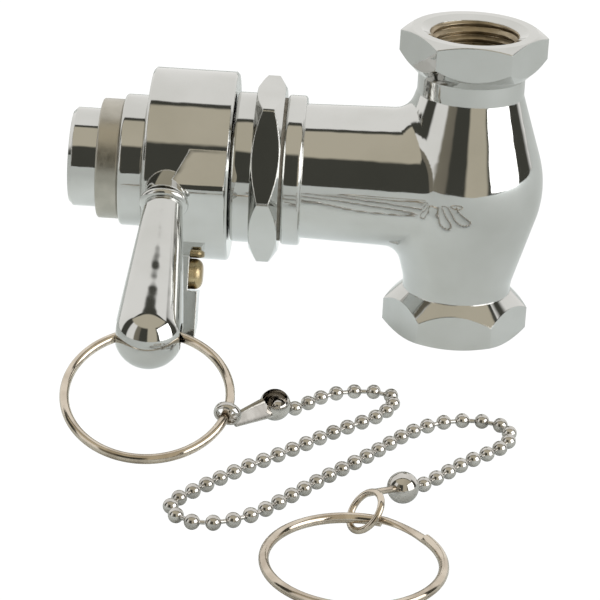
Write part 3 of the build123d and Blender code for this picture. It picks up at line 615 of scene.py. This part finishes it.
def stop_pin_mesh():
    """A turning about a line along x: a shank, a collar and a head that ends in a dome."""
    pin_along_arm = 25.0
    end_x, end_radius, shank_radius, collar_radius = -66.3, 1.7, 2.0, 3.5
    shank = [
        (end_x, 0.0),
        (end_x, end_radius),
        (ARM_LEFT_X, shank_radius),
        (ARM_RIGHT_X, shank_radius),
        (ARM_RIGHT_X, collar_radius),
    ]
    dome_x, dome_height, dome_inner_radius = -59.6, 1.9, 1.6
    dome_turn = np.linspace(0, pi / 2, 12)
    dome_along = dome_x + dome_height * np.sin(dome_turn)
    dome = np.stack((dome_along, dome_inner_radius + dome_height * np.cos(dome_turn)), axis=-1)
    profile = np.concatenate((shank, dome, [(dome_x + dome_height, 0.0)]))
    x, radius = profile.T[:, :, None]
    angle = np.linspace(0, 2 * pi, 72, endpoint=False)[None, :]
    y = -pin_along_arm * cos(ARM_TURN) + radius * np.cos(angle)
    z = BRANCH_Z - pin_along_arm * sin(ARM_TURN) + radius * np.sin(angle)
    points = np.stack(np.broadcast_arrays(x, y, z), axis=-1)
    return grid_mesh("stop_pin_turning", points, closed_rows=False)


pin = show_piece(stop_pin_mesh(), "lever", brass, crease=40)
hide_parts("stop_pin")

# Lever ring: two turns of half-round steel wire, nickel plated and a little worn, twisted
# into the lever's hole. Its front edge lies on the table.


def split_ring_mesh(name, middle, across, slope, split_turn):
    """A half-round wire along two turns, so that the turns together look like one round wire.

    The first turn has its round side down and the second has it up; over a short ramp the
    height passes from one to the other in proportion to the angle.
    """
    ring_radius, half_width, half_height, half_gap = 17.3, 1.0, 1.05, 0.03
    first_turn = np.linspace(18, 345, 150)
    ramp = np.linspace(347, 373, 14)
    second_turn = np.linspace(375, 702, 150)
    along = np.radians(np.concatenate((first_turn, ramp, second_turn)))
    ramp_ends = np.radians((first_turn[-1], second_turn[0]))
    passed = np.interp(along, ramp_ends, (0, 1))[:, None]
    section = np.linspace(0, 2 * pi, 40, endpoint=False)[None, :]
    radius = ring_radius + half_width * np.cos(section)
    lower = -half_gap + half_height * np.minimum(np.sin(section), 0)
    upper = half_gap + half_height * np.maximum(np.sin(section), 0)
    height = (1 - passed) * lower + passed * upper
    angle = (along + split_turn)[:, None]
    normal = np.cross(across, slope)
    points = (
        middle
        + (radius * np.cos(angle))[..., None] * across
        + (radius * np.sin(angle))[..., None] * slope
        + height[..., None] * normal
    )
    near = np.broadcast_to(points[0].mean(axis=0), points[:1].shape)
    far = np.broadcast_to(points[-1].mean(axis=0), points[:1].shape)
    return grid_mesh(name, np.concatenate((near, points, far)), closed_rows=False)


ring_nickel = plated_metal(
    "worn_nickel",
    bright=(0.66, 0.585, 0.49),
    dull=(0.5, 0.43, 0.35),
    polish=(0.06, 0.14),
    wave_size=3 * MM,
    wave_depth=0.03 * MM,
    stain_size=5 * MM,
    edge=0.12 * MM,
)
lever_ring_tilt = radians(25.93)
lever_ring_skew = radians(5)
hole_to_middle = 16.679
level_x = np.array((1.0, 0, 0))
ring_back = np.array((0, cos(lever_ring_tilt), sin(lever_ring_tilt)))
lever_across = cos(lever_ring_skew) * level_x + sin(lever_ring_skew) * ring_back
lever_slope = cos(lever_ring_skew) * ring_back - sin(lever_ring_skew) * level_x
lever_ring_wire = split_ring_mesh(
    "lever_split_ring",
    middle=LEVER_HOLE - hole_to_middle * lever_slope,
    across=lever_across,
    slope=lever_slope,
    split_turn=radians(90),
)
lever_ring = show_piece(lever_ring_wire, "lever_ring", ring_nickel, crease=50)
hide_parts("lever_ring")

# Ring coupling: a sheet of nickel-plated brass folded into an eye round the lever ring, a
# strap and a cup that closes round the chain's first bead.


def oval_loop(middle, wide, tall, level, upright):
    """A loop of points: middle plus cos times the wide half and sin times the tall half."""
    angle = np.linspace(0, 2 * pi, 48, endpoint=False)[:, None]
    return middle + wide * np.cos(angle) * level + tall * np.sin(angle) * upright


def bar_mesh(name, start, end, start_half, end_half, roll):
    """A straight bar with an oval section that may widen: each half is (wide, tall).

    The wide side lies level, or is rolled about the bar by the given angle.
    """
    run = (end - start) / np.linalg.norm(end - start)
    level = np.cross(run, (0, 0, 1.0))
    level = level / np.linalg.norm(level)
    upright = np.cross(level, run)
    wide = cos(roll) * level - sin(roll) * upright
    tall = cos(roll) * upright + sin(roll) * level
    near_loop = oval_loop(start, *start_half, wide, tall)
    return capped_prism(name, near_loop, oval_loop(end, *end_half, wide, tall))


def ball_mesh(name, middle, radius):
    """A ball: rings of radius r sin(t) at height r cos(t) from pole to pole."""
    drop = np.linspace(0, pi, 33)[:, None]
    angle = np.linspace(0, 2 * pi, 64, endpoint=False)[None, :]
    sideways, depth = np.sin(drop) * np.cos(angle), np.sin(drop) * np.sin(angle)
    height = np.broadcast_to(np.cos(drop), sideways.shape)
    points = np.stack((sideways, depth, height), axis=-1)
    return grid_mesh(name, middle + radius * points, closed_rows=False)


def eye_mesh(name, middle, radius, half, ways, steps):
    """A closed ring: a circle swept by an oval, with one half outward and one along the axis.

    The ways are two unit vectors in the ring's plane and one along its axis.
    """
    outward, along = half
    forward, aside, axis = ways
    turn = np.linspace(0, 2 * pi, steps, endpoint=False)[:, None]
    fold = np.linspace(0, 2 * pi, 24, endpoint=False)[None, :]
    reach = (radius + outward * np.cos(fold))[..., None]
    points = (
        middle
        + reach * (np.cos(turn)[..., None] * forward + np.sin(turn)[..., None] * aside)
        + (along * np.sin(fold))[..., None] * axis
    )
    return grid_mesh(name, points, closed_rows=True)


def ring_coupling_mesh():
    """Eye, strap and cup of one sheet: the eye is a band, and the cup is a ball cut open above."""
    eye = np.array((-46.93, -73.21, 7.4))
    ring_wire = np.array((0.2079, 0.8796, 0.4278))
    cup = np.array((-37.81, -58.285, 3.4))
    towards = cup - eye
    towards = towards - ring_wire * towards.dot(ring_wire)
    towards = towards / np.linalg.norm(towards)
    eye_ways = (towards, np.cross(ring_wire, towards), ring_wire)
    eye_radius, band_half = 2.5, (0.45, 0.95)
    eye_band = eye_mesh("coupling_eye", eye, eye_radius, band_half, eye_ways, 64)
    strap_start = eye + 2.4 * towards
    eye_end_half, cup_end_half, strap_roll = (1.4, 0.45), (2.6, 0.5), radians(50)
    strap = bar_mesh("coupling_strap", strap_start, cup, eye_end_half, cup_end_half, strap_roll)
    cup_radius, hollow_radius = 3.4, 2.9
    cup_ball = ball_mesh("ring_coupling", cup, cup_radius)
    sheet = joined("coupling_folded", cup_ball, [strap, eye_band], "UNION")

    hollow = ball_mesh("coupling_hollow", cup, hollow_radius)
    opening_tilt, opening_reach, opening_half = radians(24), 6, (2.65, 2.65)
    opening_way = np.array((0, -sin(opening_tilt), cos(opening_tilt)))
    opening_end = cup + opening_reach * opening_way
    opening = bar_mesh("coupling_opening", cup, opening_end, opening_half, opening_half, 0)
    first_bead = np.array((-37.1, -57.8, 2.9))
    second_bead = np.array((-33.63, -55.43, 1.6))
    way_half = (0.65, 0.65)
    way_out = bar_mesh("coupling_way_out", first_bead, second_bead, way_half, way_half, 0)
    return joined("coupling_sheet", sheet, [hollow, opening, way_out], "DIFFERENCE")


chain_nickel = plated_metal(
    "bright_nickel",
    bright=(0.62, 0.6, 0.57),
    dull=(0.48, 0.46, 0.43),
    polish=(0.05, 0.11),
    wave_size=2 * MM,
    wave_depth=0.015 * MM,
    stain_size=3 * MM,
    edge=0.1 * MM,
)
coupling = show_piece(
    ring_coupling_mesh(), "lever_ring", chain_nickel, crease=40
)
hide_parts("ring_coupling")

# Bead chain: hollow balls of nickel-plated brass on short wire links, one pitch apart.
# It lies in loose bends on the table.
finish_node("bead_chain", chain_nickel)

# Bell coupling: a hollow ball of nickel-plated brass, folded round the chain's last bead.
# It also holds the head of the wire eye.
finish_node("bell_coupling", chain_nickel)

# Coupling loop: a nickel-plated steel wire bent to an eye for the pull ring, with a shank.
# The shank's head is caught inside the ball.


def coupling_wire_mesh():
    """A round wire bent to a ring, run together with a straight shank to the ball."""
    middle = np.array((-16.886, -107.978, 4.066))
    back = np.array((0, 0.8660, 0.5))
    side = np.array((0.7071, -0.3536, 0.6124))
    eye_ways = (back, side, np.cross(side, back))
    eye_radius, wire_half = 4.24, (0.7, 0.7)
    eye = eye_mesh("coupling_eye_wire", middle, eye_radius, wire_half, eye_ways, 96)
    ball, caught = np.array((-9.766, -94.328, 3.25)), 1.75
    shank_start = middle + eye_radius * back
    shank_way = (shank_start - ball) / np.linalg.norm(shank_start - ball)
    shank_end = ball + caught * shank_way
    shank = bar_mesh("coupling_shank", shank_start, shank_end, wire_half, wire_half, 0)
    return joined("coupling_wire", eye, [shank], "UNION")


wire_eye = show_piece(coupling_wire_mesh(), "lever_ring", ring_nickel, crease=40)
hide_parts("coupling_loop")

# Pull ring: the same split ring as on the lever, hung in the wire loop for the hand.
# Its front lies on the table and its back is lifted by the loop.
pull_tilt = radians(2.662)
pull_ring_wire = split_ring_mesh(
    "pull_split_ring",
    middle=np.array((-18.4, -125.9, 1.949)),
    across=level_x,
    slope=np.array((0, cos(pull_tilt), sin(pull_tilt))),
    split_turn=radians(56),
)
pull_ring = show_piece(pull_ring_wire, "pull_ring", ring_nickel, crease=50)
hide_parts("pull_ring")

# Studio: a pale table that shows only in the metal, a white backdrop, a tan ceiling, a dark room
# in front and a window at the right. The picture is taken from in front, a little above, with
# the camera tipped slightly.


def way_to(azimuth, elevation):
    """A unit vector to a place round the valve: azimuth 0 is in front and turns to the right."""
    level_reach = cos(elevation)
    return Vector((sin(azimuth) * level_reach, -cos(azimuth) * level_reach, sin(elevation)))


camera_roll = radians(3.059)
camera_distance = 683.77 * MM
camera_target = Vector((-35.64, 0, 4.11)) * MM
away = way_to(radians(1.945), radians(22.068))
level = Vector((0, 0, 1)).cross(away).normalized()
upright = away.cross(level)
right = cos(camera_roll) * level + sin(camera_roll) * upright
top = cos(camera_roll) * upright - sin(camera_roll) * level
view = bpy.data.cameras.new("photo_view")
view.sensor_width = 36
view.lens = 177.8
view.clip_start = 0.05
photo_camera = bpy.data.objects.new("photo_view", view)
bpy.context.scene.collection.objects.link(photo_camera)
turn = Matrix((right, top, away)).transposed().to_4x4()
photo_camera.matrix_world = Matrix.Translation(camera_target + away * camera_distance) @ turn
bpy.context.scene.camera = photo_camera

table_mesh = bpy.data.meshes.new("table")
table_points = [(-1.5, -0.42, 0), (1.5, -0.42, 0), (1.5, 1.5, 0), (-1.5, 1.5, 0)]
table_mesh.from_pydata(table_points, [], [(0, 1, 2, 3)])
table = bpy.data.objects.new("table", table_mesh)
bpy.context.scene.collection.objects.link(table)
table.visible_camera = False
paper = bpy.data.materials.new("pale_table")
paper.use_nodes = True
nodes = paper.node_tree.nodes
links = paper.node_tree.links
shader = nodes["Principled BSDF"]
shader.inputs["Base Color"].default_value = (0.8, 0.86, 0.89, 1)
shader.inputs["Roughness"].default_value = 0.8
# Painted light: glossy rays see the table glow, at full strength within 3 cm of a point under the
# valve and fading out by 11.5 cm, a painted pool of light that the metal mirrors.
painted_pool_light = nodes.new("ShaderNodeEmission")
painted_pool_light.inputs["Color"].default_value = (0.95, 1, 1, 1)
path = nodes.new("ShaderNodeLightPath")
spot = nodes.new("ShaderNodeVectorMath")
spot.operation = "DISTANCE"
spot.inputs[1].default_value = (-0.06, 0.01, 0)
links.new(nodes.new("ShaderNodeTexCoord").outputs["Object"], spot.inputs[0])
near = nodes.new("ShaderNodeMapRange")
near.interpolation_type = "SMOOTHSTEP"
near.inputs["From Min"].default_value = 0.115
near.inputs["From Max"].default_value = 0.03
near.inputs["To Max"].default_value = 0.33
links.new(spot.outputs["Value"], near.inputs["Value"])
mirrored = nodes.new("ShaderNodeMath")
mirrored.operation = "MULTIPLY"
links.new(path.outputs["Is Glossy Ray"], mirrored.inputs[0])
links.new(near.outputs["Result"], mirrored.inputs[1])
links.new(mirrored.outputs["Value"], painted_pool_light.inputs["Strength"])
both = nodes.new("ShaderNodeAddShader")
links.new(shader.outputs["BSDF"], both.inputs[0])
links.new(painted_pool_light.outputs["Emission"], both.inputs[1])
links.new(both.outputs["Shader"], nodes["Material Output"].inputs["Surface"])
table_mesh.materials.append(paper)

window_light = bpy.data.lights.new("window", "AREA")
window_light.shape = "RECTANGLE"
window_light.size = 1.1
window_light.size_y = 0.9
window_light.energy = 9
window_distance = 1.2
window_away = way_to(radians(63), radians(20))
window = bpy.data.objects.new("window", window_light)
window.location = window_away * window_distance
window.rotation_euler = window_away.to_track_quat("Z", "Y").to_euler()
bpy.context.scene.collection.objects.link(window)

room = bpy.data.worlds.new("room")
bpy.context.scene.world = room
room.use_nodes = True
nodes = room.node_tree.nodes
links = room.node_tree.links
background = nodes["Background"]
direction = nodes.new("ShaderNodeSeparateXYZ")
links.new(nodes.new("ShaderNodeTexCoord").outputs["Generated"], direction.inputs[0])


def sum_of(operation, first, second):
    """One math step on two values, each a socket or a plain number."""
    step = nodes.new("ShaderNodeMath")
    step.operation = operation
    for socket, value in zip(step.inputs, (first, second)):
        if isinstance(value, (int, float)):
            socket.default_value = value
        else:
            links.new(value, socket)
    return step.outputs["Value"]


def bands(share, stops):
    """Colours along a full turn: each stop is an angle in degrees and a colour."""
    ramp = nodes.new("ShaderNodeValToRGB")
    first, last = stops[0], stops[-1]
    ramp.color_ramp.elements[0].position = first[0] / 360 + 0.5
    ramp.color_ramp.elements[0].color = (*first[1], 1)
    ramp.color_ramp.elements[1].position = last[0] / 360 + 0.5
    ramp.color_ramp.elements[1].color = (*last[1], 1)
    for angle, colour in stops[1:-1]:
        element = ramp.color_ramp.elements.new(angle / 360 + 0.5)
        element.color = (*colour, 1)
    links.new(share, ramp.inputs["Fac"])
    return ramp.outputs["Color"]


WHITE = (1.0, 0.99, 0.965)
TAN = (0.61, 0.56, 0.445)
DIM = (0.25, 0.23, 0.18)
DIMMER = (0.22, 0.2, 0.16)
DARK = (0.068, 0.068, 0.057)
front = sum_of("MULTIPLY", direction.outputs["Y"], -1.0)
over = sum_of("ARCTAN2", direction.outputs["Z"], front)
around = sum_of("ARCTAN2", direction.outputs["X"], front)
over_share = sum_of("ADD", sum_of("MULTIPLY", over, 0.5 / pi), 0.5)
around_share = sum_of("ADD", sum_of("MULTIPLY", around, 0.5 / pi), 0.5)
ceiling = bands(
    over_share,
    [(-90, DARK), (42, TAN), (91, TAN), (92, DARK), (97, DARK), (98, WHITE)],
)
walls = bands(
    around_share,
    [
        (-102, WHITE),
        (-98, DARK),
        (-76, DARK),
        (-72, WHITE),
        (-48, WHITE),
        (-44, DIM),
        (-29, DIMMER),
        (-25, DARK),
        (0, DARK),
        (4, TAN),
        (32, TAN),
        (36, DARK),
        (112, DARK),
        (120, WHITE),
    ],
)
high = nodes.new("ShaderNodeMapRange")
high.inputs["From Min"].default_value = sin(radians(40))
high.inputs["From Max"].default_value = sin(radians(44))
links.new(direction.outputs["Z"], high.inputs["Value"])
picture = nodes.new("ShaderNodeMix")
picture.data_type = "RGBA"
links.new(high.outputs["Result"], picture.inputs["Factor"])
links.new(walls, picture.inputs["A"])
links.new(ceiling, picture.inputs["B"])
path = nodes.new("ShaderNodeLightPath")
seen = nodes.new("ShaderNodeMix")
seen.data_type = "RGBA"
links.new(path.outputs["Is Camera Ray"], seen.inputs["Factor"])
links.new(picture.outputs["Result"], seen.inputs["A"])
seen.inputs["B"].default_value = (1.05, 1.05, 1.05, 1)
links.new(seen.outputs["Result"], background.inputs["Color"])

bpy.context.scene.view_settings.view_transform = "Standard"
